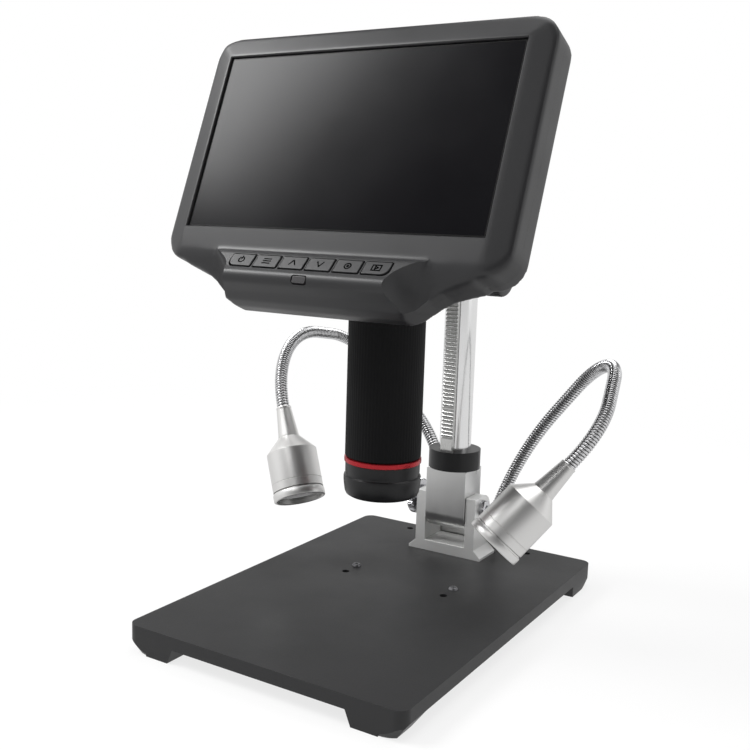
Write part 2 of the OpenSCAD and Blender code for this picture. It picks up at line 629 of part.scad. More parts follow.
module button(i) color([0.2, 0.2, 0.21]) keys() translate([(i - 3.5) * key_pitch, 0, -key_mid])
  union() {
    box(-key_w / 2, key_w / 2, -0.5, key_t, -key_h / 2, key_h / 2);
    box(-1.5, 1.5, key_t - eps, key_t + 1, -1.5, 1.5);
  }
// half of a tooth's angle at radius r, on an involute
function inv(r) = let (a = acos(min(1, base_r / r))) tan(a) * 180 / PI - a;
function half(r) = tooth_w / 2 / pitch_r * 180 / PI + inv(pitch_r) - inv(r);
module pinion_shaft() color(steel) translate([0, pin_y, knob_z]) union() {
  rod_x(shaft_r, -knob_x - 10, knob_x + 10);
  push_x(-4, 4) polygon([for (i = [0:pin_n - 1],
    q = [[base_r, 4.25, -1], [base_r, base_r, -1], [5, 5, -1], [pin_r, pin_r, -1],
      [pin_r, pin_r, 1], [5, 5, 1], [base_r, base_r, 1], [base_r, 4.25, 1]])
    let (a = i * 360 / pin_n + pin_turn + q[2] * half(q[0])) [q[1] * cos(a), q[1] * sin(a)]]);
}
module knob(s) color(black) translate([0, pin_y, knob_z]) mirror([s < 0 ? 1 : 0, 0, 0])
  translate([knob_x, 0, 0]) rotate([0, 90, 0]) difference() {
    union() {
      cylinder(r = 8, h = 3);
      translate([0, 0, 2.4]) cylinder(d = knob_d, h = knob_len - 2.4);
    }
    translate([0, 0, -1]) cylinder(r = shaft_r, h = 11);
  }
module lock_screw() color(black) translate([0, 0, car_z0 + 28]) union() {
  rod_y(2.5, col_y + rod_r + 0.3, car_back + 1);
  rod_y(7, car_back + 0.4, car_back + 9);
}

base_plate();
stage_screw(-1);  // stage_screw_l
stage_screw(1);  // stage_screw_r
bracket();
bracket_screw(-1);  // bracket_screw_l
bracket_screw(1);  // bracket_screw_r
tilt_bolt();
tilt_nut();
neck_mount();
lamp_jack();
neck_ferrule(-1);  // neck_ferrule_l
neck_ferrule(1);  // neck_ferrule_r
neck_lower(-1);  // neck_lower_l
neck_lower(1);  // neck_lower_r
tilt_block();
column_rod();
gear_rack();
collar_ring();
collar_screw();
column_cap();
carriage();
camera_housing();
barrel_tube();
lens_group();
sensor_board();
red_ring();
nose_cap();
front_bezel();
lcd_panel();
panel_frame();
main_board();
button_board();
ir_window();
rear_cover();
hdmi_port();
usb_port();
focus_ring();
button(1);  // button_1
button(2);  // button_2
button(3);  // button_3
button(4);  // button_4
button(5);  // button_5
button(6);  // button_6
pinion_shaft();
knob(-1);  // knob_l
knob(1);  // knob_r
lock_screw();
neck_mid(-1);  // neck_mid_l
neck_mid(1);  // neck_mid_r
neck_upper(-1);  // neck_upper_l
neck_upper(1);  // neck_upper_r
lamp_head(-1);  // lamp_head_l
lamp_head(1);  // lamp_head_r
lamp_bezel(-1);  // lamp_bezel_l
lamp_bezel(1);  // lamp_bezel_r
lamp_lens(-1);  // lamp_lens_l
lamp_lens(1);  // lamp_lens_r
lamp_led(-1);  // lamp_led_l
lamp_led(1);  // lamp_led_r
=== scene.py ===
# %% [markdown]
# # A screen microscope on a stand
# This lesson dresses a finished construction model of a bench microscope: a tilted screen over a lens
# barrel, a rack column on a tilting bracket, a flat base plate and two gooseneck lamps. The model gives
# every size. Blender gives the soft edges, the wound necks, the ribs, the signs on the buttons and the
# finishes. Everything is in metres, and the model says where each piece goes.

# %% Load the construction model
import json
import math

import bpy
from mathutils import Matrix, Vector

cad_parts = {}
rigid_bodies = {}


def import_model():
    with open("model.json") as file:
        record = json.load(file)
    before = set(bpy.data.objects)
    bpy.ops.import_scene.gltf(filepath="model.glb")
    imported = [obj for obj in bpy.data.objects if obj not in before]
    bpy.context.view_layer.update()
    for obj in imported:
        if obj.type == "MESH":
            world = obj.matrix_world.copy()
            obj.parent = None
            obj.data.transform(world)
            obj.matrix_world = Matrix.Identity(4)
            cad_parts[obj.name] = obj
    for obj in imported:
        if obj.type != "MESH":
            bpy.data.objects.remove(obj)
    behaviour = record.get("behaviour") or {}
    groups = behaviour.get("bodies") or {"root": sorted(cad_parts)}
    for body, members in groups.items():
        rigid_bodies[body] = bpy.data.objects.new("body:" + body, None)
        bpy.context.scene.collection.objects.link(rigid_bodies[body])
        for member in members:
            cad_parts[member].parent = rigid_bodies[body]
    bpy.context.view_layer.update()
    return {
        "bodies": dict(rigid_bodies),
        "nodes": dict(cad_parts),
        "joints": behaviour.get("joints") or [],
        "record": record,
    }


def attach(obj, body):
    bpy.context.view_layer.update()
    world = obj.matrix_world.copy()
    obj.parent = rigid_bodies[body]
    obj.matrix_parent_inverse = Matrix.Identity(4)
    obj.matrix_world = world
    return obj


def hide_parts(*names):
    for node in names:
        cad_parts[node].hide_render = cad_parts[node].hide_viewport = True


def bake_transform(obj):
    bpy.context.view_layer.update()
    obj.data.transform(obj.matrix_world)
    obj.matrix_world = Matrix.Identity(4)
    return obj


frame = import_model()
nodes = frame["nodes"]
body_of_node = {n: b for b, ns in frame["record"]["behaviour"]["bodies"].items() for n in ns}
slot_of_node = {s["node"]: s["material_slot"] for s in frame["record"]["subparts"]}

# %% [markdown]
# ## Camera
# The camera stands to the right of the front, a little above the desk, half a metre away. Its place is
# given as a compass angle, a height angle and a small roll about the line of sight.

# %% The camera
azimuth, elevation, roll = math.radians(31.33), math.radians(9.14), math.radians(1.81)
distance = 0.50304
target = Vector((-0.00859, 0.0, 0.12545))
back = Vector((math.sin(azimuth) * math.cos(elevation), -math.cos(azimuth) * math.cos(elevation),
               math.sin(elevation)))
side = Vector((0, 0, 1)).cross(back).normalized()
over = back.cross(side)
right = math.cos(roll) * side + math.sin(roll) * over
up = -math.sin(roll) * side + math.cos(roll) * over


def linked(name, data):
    """A new object in the scene for a mesh, a camera or a light."""
    obj = bpy.data.objects.new(name, data)
    bpy.context.scene.collection.objects.link(obj)
    return obj


camera = linked("camera", bpy.data.cameras.new("camera"))
camera.data.lens = 47.65
camera.data.sensor_width = 36
camera.data.clip_start = 0.02
camera.matrix_world = (Matrix.Translation(target + back * distance)
                       @ Matrix((right, up, back)).transposed().to_4x4())
bpy.context.scene.camera = camera
print("camera at", [round(v, 3) for v in camera.location])

# %% [markdown]
# ## Finishes
# A finish is a small node tree on the Principled shader. Moulded plastic has a fine spark-eroded grain,
# powder paint has a soft orange peel, and turned metal has fine rings left by the tool. Each grain is a
# Noise texture on Object coordinates, so it keeps its real size. It drives a little bump and a little
# change of gloss, and a second, wide noise stands for handling and uneven paint.

# %% Helpers for node trees and finishes
GRAIN_SHARE = 0.45  # the fine noise's part of the change of gloss and tone; the wide noise has the rest


def add(tree, kind, **inputs):
    """A new node of a tree, with values for its inputs: From_Min stands for the socket From Min."""
    node = tree.nodes.new("ShaderNode" + kind)
    for key, value in inputs.items():
        node.inputs[key.replace("_", " ")].default_value = value
    return node


def feed(tree, source, target):
    """A link from one socket to another."""
    tree.links.new(source, target)


def math_node(tree, operation, first, second, third=None):
    """A Math node on sockets or numbers. Gives its result."""
    node = add(tree, "Math")
    node.operation = operation
    for socket, value in zip(node.inputs, (first, second, third)):
        if isinstance(value, (int, float)):
            socket.default_value = value
        elif value is not None:
            feed(tree, value, socket)
    return node.outputs[0]


def ramp(tree, value, low, high, start, end, smooth=False):
    """A value from low to high becomes one from start to end."""
    node = add(tree, "MapRange", From_Min=low, From_Max=high, To_Min=start, To_Max=end)
    if smooth:
        node.interpolation_type = "SMOOTHSTEP"
    feed(tree, value, node.inputs["Value"])
    return node.outputs["Result"]


def finish(name, colour, rough, metallic=0.0, grain=1500.0, bump=0.06, depth=0.0001, spread=0.06,
           stretch=(1, 1, 1), turn=(0, 0, 0), centre=(0, 0, 0), shade=0.12, specular=0.5, wide=35.0):
    """A Principled finish: grain per metre, bump strength, relief in metres, and change of tone."""
    mat = bpy.data.materials.new(name)
    mat.use_nodes = True
    tree = mat.node_tree
    shader = tree.nodes["Principled BSDF"]
    shader.inputs["Metallic"].default_value = metallic
    shader.inputs["Specular IOR Level"].default_value = specular
    where = add(tree, "TexCoord").outputs["Object"]
    turned_to = add(tree, "Mapping", Location=centre, Rotation=turn, Scale=stretch)
    turned_to.vector_type = "TEXTURE"
    noise = add(tree, "TexNoise", Scale=grain, Detail=3)
    cloud = add(tree, "TexNoise", Scale=wide)
    feed(tree, where, turned_to.inputs["Vector"])
    feed(tree, turned_to.outputs["Vector"], noise.inputs["Vector"])
    feed(tree, where, cloud.inputs["Vector"])
    both = math_node(tree, "MULTIPLY_ADD", noise.outputs["Fac"], GRAIN_SHARE,
                     math_node(tree, "MULTIPLY", cloud.outputs["Fac"], 1 - GRAIN_SHARE))
    tint = add(tree, "Mix")
    tint.data_type = "RGBA"
    tint.inputs["A"].default_value = (*[c * (1 - shade) for c in colour], 1)
    tint.inputs["B"].default_value = (*[min(1, c * (1 + shade)) for c in colour], 1)
    feed(tree, both, tint.inputs["Factor"])
    feed(tree, tint.outputs["Result"], shader.inputs["Base Color"])
    feed(tree, ramp(tree, both, 0.3, 0.7, max(0.02, rough - spread), min(1, rough + spread)),
         shader.inputs["Roughness"])
    relief = add(tree, "Bump", Strength=bump, Distance=depth)
    feed(tree, noise.outputs["Fac"], relief.inputs["Height"])
    feed(tree, relief.outputs["Normal"], shader.inputs["Normal"])
    return mat


finishes = {
    "plate_paint": finish("satin_powder_paint", (0.024, 0.024, 0.025), 0.44, grain=1500, bump=0.3,
                          specular=0.3, shade=0.1),
    "aluminium": finish("satin_anodised", (0.70, 0.70, 0.69), 0.36, 1.0, grain=700, bump=0.10,
                        stretch=(1, 1, 14), shade=0.06),
    "steel": finish("bright_steel", (0.58, 0.58, 0.60), 0.2, 1.0, grain=2500, bump=0.05, shade=0.05),
    "black_metal": finish("black_anodised", (0.009, 0.009, 0.010), 0.36, grain=2500, bump=0.08,
                          specular=0.35),
    "neck_chrome": finish("wound_chrome", (0.66, 0.66, 0.67), 0.15, 1.0, grain=3000, bump=0.05,
                          shade=0.06),
    "charcoal_plastic": finish("charcoal_moulding", (0.020, 0.020, 0.0215), 0.40, grain=2600,
                               bump=0.2, shade=0.08, specular=0.42),
    "black_plastic": finish("black_moulding", (0.014, 0.014, 0.015), 0.38, grain=2600, bump=0.12,
                            specular=0.4),
    "ribbed_rubber": finish("soft_black_grip", (0.006, 0.006, 0.0065), 0.68, grain=2200, bump=0.2,
                            specular=0.15),
    "red_metal": finish("red_anodised", (0.42, 0.018, 0.026), 0.26, 0.65, grain=2000, bump=0.06),
    "board_green": finish("solder_mask", (0.02, 0.13, 0.06), 0.3, grain=600, bump=0.1),
    "ir_plastic": finish("smoked_window", (0.020, 0.018, 0.020), 0.34, grain=2200, bump=0.08),
    "led_yellow": finish("led_phosphor", (0.72, 0.66, 0.32), 0.5, grain=1500, bump=0.2),
}
polished = finish("polished_rod", (0.86, 0.86, 0.86), 0.2, 1.0, grain=900, bump=0.04,
                  stretch=(1, 1, 20), shade=0.04, spread=0.04)
sign_ink = finish("sign_ink", (0.001, 0.001, 0.001), 0.9, grain=3000, bump=0.1, specular=0.02)
print("finishes:", len(finishes))

# %% [markdown]
# Clear pieces are the front lens and the lenses of the lamps, whose coating darkens them. They have a
# slight surface grain, so that they are not perfectly empty. The screen is dark and half matt: its lit
# area is a little glossier than the black mask round it.

# %% Glass and the dark screen
def clear_glass(name, tint=(0.95, 0.97, 1.0), rough=0.04, ior=1.49):
    mat = finish(name, tint, rough, grain=400, bump=0.02, spread=0.02, shade=0.01)
    shader = mat.node_tree.nodes["Principled BSDF"]
    shader.inputs["Transmission Weight"].default_value = 0.92
    shader.inputs["IOR"].default_value = ior
    return mat


finishes["lens_glass"] = clear_glass("clear_lens")
coated_glass = clear_glass("coated_lens", (0.12, 0.12, 0.13), 0.06, 1.2)
finishes["screen_glass"] = finish("screen_area", (0.002, 0.0018, 0.0030), 0.20, grain=1600,
                                  bump=0.03, spread=0.02, shade=0.15, specular=0.16)
screen_mask = finish("screen_mask", (0.002, 0.002, 0.002), 0.32, grain=700, bump=0.01, specular=0.15)
for name, obj in nodes.items():
    obj.data.materials.clear()
    obj.data.materials.append(finishes[slot_of_node[name]])
print("every node has a finish")

# %% [markdown]
# ## Working by hand, in code
# The operators act on whatever is selected, so each helper first clears the selection. A finished piece
# sits at the origin with its place in its mesh, as the nodes of the model do. Weighted normals keep the
# broad flat faces flat next to their rounded edges.

# %% Selecting, applying and finishing
MM = 0.001


def only(obj):
    """Selects just this object and makes it the active one."""
    if bpy.context.mode != "OBJECT":
        bpy.ops.object.mode_set(mode="OBJECT")
    bpy.ops.object.select_all(action="DESELECT")
    obj.hide_set(False)
    obj.select_set(True)
    bpy.context.view_layer.objects.active = obj
    return obj


def apply_all(obj):
    """Applies every modifier in order."""
    only(obj)
    for modifier in list(obj.modifiers):
        bpy.ops.object.modifier_apply(modifier=modifier.name)
    return obj


def place(obj, matrix):
    """Writes a place into the mesh and leaves the object at the origin."""
    obj.data.transform(matrix)
    obj.data.update()
    return obj


def edit_all(obj):
    """Goes to edit mode with everything selected."""
    only(obj)
    bpy.ops.object.mode_set(mode="EDIT")
    bpy.ops.mesh.select_all(action="SELECT")


def tidy(obj, close=1e-6):
    """Merges doubles and turns every face outwards."""
    edit_all(obj)
    bpy.ops.mesh.remove_doubles(threshold=close)
    bpy.ops.mesh.normals_make_consistent(inside=False)
    bpy.ops.object.mode_set(mode="OBJECT")
    return obj


def dress(obj, material, body, replaces=(), smooth=35, weighted=False):
    """Shading, finish, body and material slot of a finished piece."""
    only(obj)
    if smooth:
        bpy.ops.object.shade_smooth_by_angle(angle=math.radians(smooth))
    if weighted:
        modifier = obj.modifiers.new("flat_faces", "WEIGHTED_NORMAL")
        modifier.keep_sharp = True
        modifier.weight = 80
        apply_all(obj)
    obj.data.materials.clear()
    obj.data.materials.append(material)
    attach(obj, body)
    if replaces:
        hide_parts(*replaces)
    print(obj.name, len(obj.data.polygons), "faces")
    return obj


def rounded_edges(obj, width, segments=2):
    """A Bevel modifier that rounds only the true corners."""
    bevel = obj.modifiers.new("edges", "BEVEL")
    bevel.width = width * MM
    bevel.segments = segments
    bevel.limit_method = "ANGLE"
    bevel.angle_limit = math.radians(30)
    return apply_all(obj)


print("nodes by slot:", {slot: list(slot_of_node.values()).count(slot) for slot in finishes})

# %% [markdown]
# ## Edges that catch the light
# No real edge is perfectly sharp. A milled, cut or moulded piece has a small bevel that draws a bright
# line. The copy of a node is merged, its flat triangles are joined into whole faces, and a Bevel
# modifier with an angle limit rounds only the true corners.

# %% A copy of a node with rounded edges
def softened(node, width, material=None):
    """Shows a node through a copy whose edges are rounded by a width in millimetres."""
    obj = linked(node + "_shell", nodes[node].data.copy())
    edit_all(obj)
    bpy.ops.mesh.remove_doubles(threshold=2e-6)
    bpy.ops.mesh.dissolve_limited(angle_limit=math.radians(0.5))
    bpy.ops.object.mode_set(mode="OBJECT")
    if width:
        rounded_edges(obj, width)
    slot = slot_of_node[node]
    return dress(obj, material or finishes[slot], body_of_node[node], [node], weighted=True)


for node, width in {"base_plate": 0.6, "neck_mount": 0.5, "lamp_jack": 0.2, "carriage": 0.8,
                    "camera_housing": 1.6, "collar_ring": 0.4, "collar_screw": 0.15, "column_cap": 0.6,
                    "hdmi_port": 0.15, "usb_port": 0.15, "tilt_bolt": 0.25}.items():
    softened(node, width)

# %% [markdown]
# The column is a drawn and polished rod with a flat of toothed rack let into it. Milled pieces keep the
# marks of the cutter: straight lines down the bracket's ears and fine lines across the tilting block.

# %% Rod, rack, bracket and block
softened("column_rod", 0.3, polished)
softened("gear_rack", 0.0, finish("milled_rack", (0.60, 0.60, 0.59), 0.26, 1.0, grain=900, bump=0.08,
                                  stretch=(1, 1, 8), shade=0.05))
softened("bracket", 0.35, finish("milled_bracket", (0.87, 0.87, 0.86), 0.50, 0.7, grain=1500,
                                 bump=0.3, stretch=(1, 1, 25), shade=0.06, spread=0.08))
softened("tilt_block", 0.4, finish("satin_block", (0.74, 0.74, 0.735), 0.32, 1.0, grain=1200, bump=0.16,
                                   stretch=(1, 1, 25), shade=0.06))
dull_steel = finish("dull_steel", (0.20, 0.20, 0.21), 0.42, 1.0, grain=2500, bump=0.1)
for node in ("stage_screw_l", "stage_screw_r"):
    softened(node, 0.2, dull_steel)

# %% [markdown]
# ## Frames of the tilted pieces
# The screen housing leans back, and the button face leans further. Each has its own frame, in which the
# piece is modelled upright and then placed.

# %% Frames
SCREEN_LEAN, KEY_LEAN = 21.5, 25.5  # degrees


def move_by(x, y, z):
    """A move in millimetres."""
    return Matrix.Translation((x * MM, y * MM, z * MM))


def turn_by(degrees, axis):
    """A turn about X, Y or Z."""
    return Matrix.Rotation(math.radians(degrees), 4, axis)


screen_frame = move_by(0, -46.5, 239) @ turn_by(-SCREEN_LEAN, "X")
local_key = move_by(0, -1.6, -54.5) @ turn_by(-KEY_LEAN, "X")
key_frame = screen_frame @ local_key
print("screen normal", [round(v, 2) for v in screen_frame.to_3x3() @ Vector((0, -1, 0))])

# %% [markdown]
# ## The screen housing
# The real housing is one soft moulding, split behind the front. It is a slab that slopes back at both
# sides and at the top, with a flared chin and a nose that carries the buttons. Outlines are pushed to
# their thickness and joined, then remeshed into small even faces. A Smooth modifier melts the corners as
# a mould with large radii does. The two scoops at the ends of the nose and the openings are cut last,
# so that their edges stay crisp.

# %% Outline and prism helpers
def arc(cx, cz, r, start, end, steps):
    """Points of an arc between two angles in degrees."""
    return [(cx + r * math.cos(math.radians(start + (end - start) * i / steps)),
             cz + r * math.sin(math.radians(start + (end - start) * i / steps)))
            for i in range(steps + 1)]


def prism(name, points, low, high, along="Y"):
    """A closed outline pushed to a thickness. Along Y the points are x, z; along X they are y, z."""
    if along == "Y":
        verts = [(x * MM, low * MM, z * MM) for x, z in points]
    elif along == "X":
        verts = [(low * MM, y * MM, z * MM) for y, z in points]
    else:
        verts = [(x * MM, y * MM, low * MM) for x, y in points]
    mesh = bpy.data.meshes.new(name)
    mesh.from_pydata(verts, [], [list(range(len(verts)))])
    obj = linked(name, mesh)
    move = [(high - low) * MM * (axis == along) for axis in "XYZ"]
    edit_all(obj)
    bpy.ops.mesh.extrude_region_move(TRANSFORM_OT_translate={"value": move})
    bpy.ops.mesh.select_all(action="SELECT")
    bpy.ops.mesh.normals_make_consistent(inside=False)
    bpy.ops.object.mode_set(mode="OBJECT")
    return obj


def combine(obj, other, operation):
    """Boolean of obj with other, which is used up."""
    modifier = obj.modifiers.new(operation.lower(), "BOOLEAN")
    modifier.object = other
    modifier.operation = operation
    modifier.solver = "EXACT"
    apply_all(obj)
    bpy.data.objects.remove(other)
    return obj


def pick(obj, test):
    """Goes to edit mode with just the vertices selected for which test(position in mm) holds."""
    only(obj)
    bpy.ops.object.mode_set(mode="EDIT")
    bpy.ops.mesh.select_mode(type="VERT")
    bpy.ops.mesh.select_all(action="DESELECT")
    bpy.ops.object.mode_set(mode="OBJECT")
    for v in obj.data.vertices:
        v.select = bool(test(v.co / MM))
    bpy.ops.object.mode_set(mode="EDIT")


def rounded_box(x0, x1, z0, z1, radii, steps=6):
    """Outline with a corner radius each for low left, low right, high right and high left."""
    a, b, c, d = radii
    return (arc(x0 + a, z0 + a, a, 180, 270, steps) + arc(x1 - b, z0 + b, b, 270, 360, steps)
            + arc(x1 - c, z1 - c, c, 0, 90, steps) + arc(x0 + d, z1 - d, d, 90, 180, steps))


def loft(name, rings):
    """A closed skin over rings of the same number of points, in millimetres."""
    n = len(rings[0])
    verts = [(x * MM, y * MM, z * MM) for ring in rings for x, y, z in ring]
    faces = [tuple(range(n)), tuple(range((len(rings) - 1) * n, len(rings) * n))]
    for k in range(len(rings) - 1):
        for i in range(n):
            a, b = k * n + i, k * n + (i + 1) % n
            faces.append((a, b, b + n, a + n))
    mesh = bpy.data.meshes.new(name)
    mesh.from_pydata(verts, [], faces)
    return tidy(linked(name, mesh))


print("a rounded box has", len(rounded_box(0, 9, 0, 9, (1,) * 4)), "points")

# %% The slab, its chin and its nose
SIDE, TOP, BOTTOM = 90.4, 56, -60  # the plain slab round the window
FLAT_SIDE, FLAT_TOP = 79.4, 45  # where the front begins to slope back
SLOPE = 3.4 / 11  # of the slopes at the sides and the top
DEPTH = 21.4
CHIN = 47  # half the width of the chin's round lower edge
NOSE = 55.4  # half the width of the nose
FRONT, BEHIND = -14, 24  # cutters begin and end clear of the housing

half = [(45, -79), (49.5, -75), (55.5, -70), (61.5, -66.2), (68, -64), (76, -61.6), (80, -56)]
chin_outline = half + [(-x, z) for x, z in reversed(half)]
slab = prism("slab", rounded_box(-SIDE, SIDE, BOTTOM, TOP, (12,) * 4), 0, DEPTH)
combine(slab, prism("chin", chin_outline, 0, DEPTH), "UNION")
across = [(96, BEHIND), (96, (96 - FLAT_SIDE) * SLOPE), (FLAT_SIDE, 0), (FLAT_SIDE, -1)]
both_sides = prism("side_slopes", across + [(-x, y) for x, y in reversed(across)], -90, 70, "Z")
combine(slab, both_sides, "INTERSECT")
over_top = [(-1, -90), (-1, FLAT_TOP), (0, FLAT_TOP), ((62 - FLAT_TOP) * SLOPE, 62), (BEHIND, 62),
            (BEHIND, -72.3), (16.8, -79.5), (16.8, -90)]
combine(slab, prism("top_slope", over_top, -95, 95, "X"), "INTERSECT")
# height, how far the front falls back there, and how far the mouth of a scoop opens
falls = [(-50, 0, 13.5), (-54.5, 0, 13.5), (-56, 0, 10), (-58, 0.4, 6), (-60, 1.3, 3), (-62, 2.6, 1.2),
         (-64, 4.1, 0.3), (-68, 6.2, 0), (-72, 7.6, 0), (-76, 10, 0), (-79, 13, 0), (-84, 18, 0)]
for s in (-1, 1):
    inner, outer = s * CHIN, s * 98
    combine(slab, loft("under_slope", [[(inner, FRONT, z), (inner, fall - 0.01, z), (outer, fall - 0.01, z),
                                        (outer, FRONT, z)] for z, fall, _ in falls]), "DIFFERENCE")
chin_under = [(FRONT, -74.6), (-1, -74.6), (4, -77.6), (9, -79), (14, -80), (14, -90), (FRONT, -90)]
combine(slab, prism("chin_under", chin_under, -CHIN, CHIN, "X"), "DIFFERENCE")
nose = prism("nose", [(6, -50), (0, -54), (-1.8, -54.9), (-6.6, -65), (-8.2, -67.3), (-8.4, -69.8),
                      (-6.8, -72), (-1, -74.6), (4, -77.6), (9, -79), (14, -79), (14, -50)],
             -NOSE, NOSE, "X")
combine(nose, prism("nose_flanks", chin_outline, -12, 16), "INTERSECT")
combine(slab, nose, "UNION")
print("blank:", len(slab.data.polygons), "faces")

# %% Small even faces, then melted corners
remesh = slab.modifiers.new("even_faces", "REMESH")
remesh.mode = "VOXEL"
remesh.voxel_size = 0.9 * MM
apply_all(slab)


def share(value):
    """A value held between 0 and 1."""
    return min(1, max(0, value))


rounds_of_group = {"": 4, "front": 6, "ridge": 8, "corner": 26}
groups = {name: slab.vertex_groups.new(name=name) for name in rounds_of_group if name}
for v in slab.data.vertices:
    x, y, z = v.co / MM
    crisp = 0.45 if abs(x) < 58 and z < -52 else 1  # the nose keeps its edges
    ahead = y < 14
    groups["front"].add([v.index], crisp * share((11 - y) / 5), "REPLACE")
    groups["ridge"].add([v.index], ahead * share(max((abs(x) - 80) / 4, (z - 47) / 4)), "REPLACE")
    groups["corner"].add([v.index], ahead * share(min((abs(x) - 62) / 6, (-50 - z) / 5)), "REPLACE")
for group, rounds in rounds_of_group.items():
    melt = slab.modifiers.new("melted_corners", "SMOOTH")
    melt.factor = 0.5
    melt.iterations = rounds
    melt.vertex_group = group
apply_all(slab)
slab.vertex_groups.clear()
print("melted:", len(slab.data.polygons), "faces")

# %% The scoops at the ends of the nose
hollow = arc(55.2, -15.5, 15.47, 90, 152, 16)
hollow = [(62, FRONT), (62, -1.2), (58.5, -0.04)] + hollow + [(hollow[-1][0] - 0.6, FRONT)]
for s in (-1, 1):
    scoop = loft("scoop", [[(s * (x + opening * max(0, 56 - x) / 14.5),
                             y + (fall * share((x - 41.5) / 9) if y > FRONT + 0.1 else 0), z)
                            for x, y in hollow] for z, fall, opening in falls])
    combine(slab, scoop, "DIFFERENCE")
print("scooped:", len(slab.data.polygons), "faces")

# %% [markdown]
# The moulding is cut at the parting line into the front bezel and the rear cover. A thin step between
# them shows as the seam.

# %% Front and rear shells
def cut_at(source, name, depth, keep_front):
    """A copy of the moulding, cut flat at a depth behind the front. Gives the front or the rear part."""
    obj = linked(name, source.data.copy())
    edit_all(obj)
    bpy.ops.mesh.bisect(plane_co=(0, depth * MM, 0), plane_no=(0, 1, 0), use_fill=True,
                        clear_outer=keep_front, clear_inner=not keep_front)
    bpy.ops.object.mode_set(mode="OBJECT")
    return obj


PARTING, SEAM = 12.0, 0.03
bezel = cut_at(slab, "front_shell", PARTING, True)
cover = cut_at(slab, "rear_shell", PARTING + SEAM, False)
bpy.data.objects.remove(slab)
print("front:", len(bezel.data.polygons), "faces, rear:", len(cover.data.polygons), "faces")

# %% [markdown]
# The openings are cut last, so that they stay crisp: the window with a small chamfer round its lip, the
# pocket for the panel behind it, six slots for the buttons and a rounded pit for the remote's window.
# The outer lower corners of the row of buttons are more rounded than the rest.

# %% Openings of the front
def block(name, size, centre):
    """A cube of a size in millimetres about a centre."""
    bpy.ops.object.select_all(action="DESELECT")
    bpy.ops.mesh.primitive_cube_add(size=1)
    obj = bpy.context.active_object
    obj.name = name
    return place(obj, move_by(*centre) @ Matrix.Diagonal([length * MM for length in size] + [1]))


KEYS, KEY_PITCH, KEY_ROW = 6, 14.2, -7.7  # the row of buttons, and its height in the button face


def key_x(i):
    """Where the middle of button i is, from 0."""
    return (i - (KEYS - 1) / 2) * KEY_PITCH


def key_outline(i, grow):
    """Outline of button i in the button face, grown by a clearance."""
    x, w, h = key_x(i), 6.6 + grow, 3.8 + grow
    radii = [0.7 + grow] * 4
    if i == 0:
        radii[0] = 3.4
    if i == KEYS - 1:
        radii[1] = 3.4
    return rounded_box(x - w, x + w, KEY_ROW - h, KEY_ROW + h, radii, 4)


WIDE, HIGH, CHAMFER = 78.5, 44.0, 0.6  # half the window, and the width of its chamfer
PANEL_Z = -0.75  # the panel sits a little low in the window
lip_w, lip_h = WIDE + CHAMFER, HIGH + CHAMFER
window = prism("window", [(-lip_w, -lip_h), (lip_w, -lip_h), (lip_w, lip_h), (-lip_w, lip_h)], -0.1, 0.5)
pick(window, lambda p: p.y > 0)
bpy.ops.transform.resize(value=(WIDE / lip_w, 1, HIGH / lip_h), center_override=(0, 0, 0))
bpy.ops.object.mode_set(mode="OBJECT")
combine(bezel, window, "DIFFERENCE")
combine(bezel, block("window_wall", (2 * WIDE, 9, 2 * HIGH), (0, 4.4, 0)), "DIFFERENCE")
combine(bezel, block("panel_pocket", (166.6, 8.6, 100), (0, 8.1, PANEL_Z)), "DIFFERENCE")
for i in range(KEYS):
    cutter = prism("slot", key_outline(i, 0.3), -4, 5)
    combine(bezel, place(cutter, local_key), "DIFFERENCE")
groove = prism("remote_groove", rounded_box(-4, 4, -71.6, -67.6, (1.1,) * 4), -12, -4.2)
combine(bezel, groove, "DIFFERENCE")
place(bezel, screen_frame)
dress(bezel, finishes["charcoal_plastic"], "head", ["front_bezel"], 28)

# %% The window of the remote control: the same grey, set in a fine dark groove
remote = prism("remote_window", rounded_box(-3.55, 3.55, -71.15, -68.05, (0.8,) * 4), -8.1, -4.1)
rounded_edges(remote, 0.2)
place(remote, screen_frame)
dress(remote, finishes["ir_plastic"], "head", ["ir_window"], 30, True)

# %% [markdown]
# The rear cover closes the back. It has four deep screw wells and two rows of cooling slots above the
# camera housing.

# %% The rear cover
for x in (-74, 74):
    for z in (-44, 42):
        well = prism("well", arc(x, z, 3.4, 0, 345, 23), 18.6, BEHIND)
        combine(cover, well, "DIFFERENCE")
for s in (-1, 1):
    for i in range(6):
        x = s * (40 + i * 4.2)
        vent = prism("vent", rounded_box(x - 0.9, x + 0.9, 18, 40, (0.85,) * 4, 3), 19.8, BEHIND)
        combine(cover, vent, "DIFFERENCE")
place(cover, screen_frame)
dress(cover, finishes["charcoal_plastic"], "head", ["rear_cover"], 28)

# %% [markdown]
# ## The screen
# A panel of this kind is a thin slab of glass behind the window. Its front face is inset and pushed
# forward, so that the glass fills the window up to its lip. Inset once more, it leaves a narrow border as
# the black mask, and the inner face is the lit area. Both are matt when the screen is off.

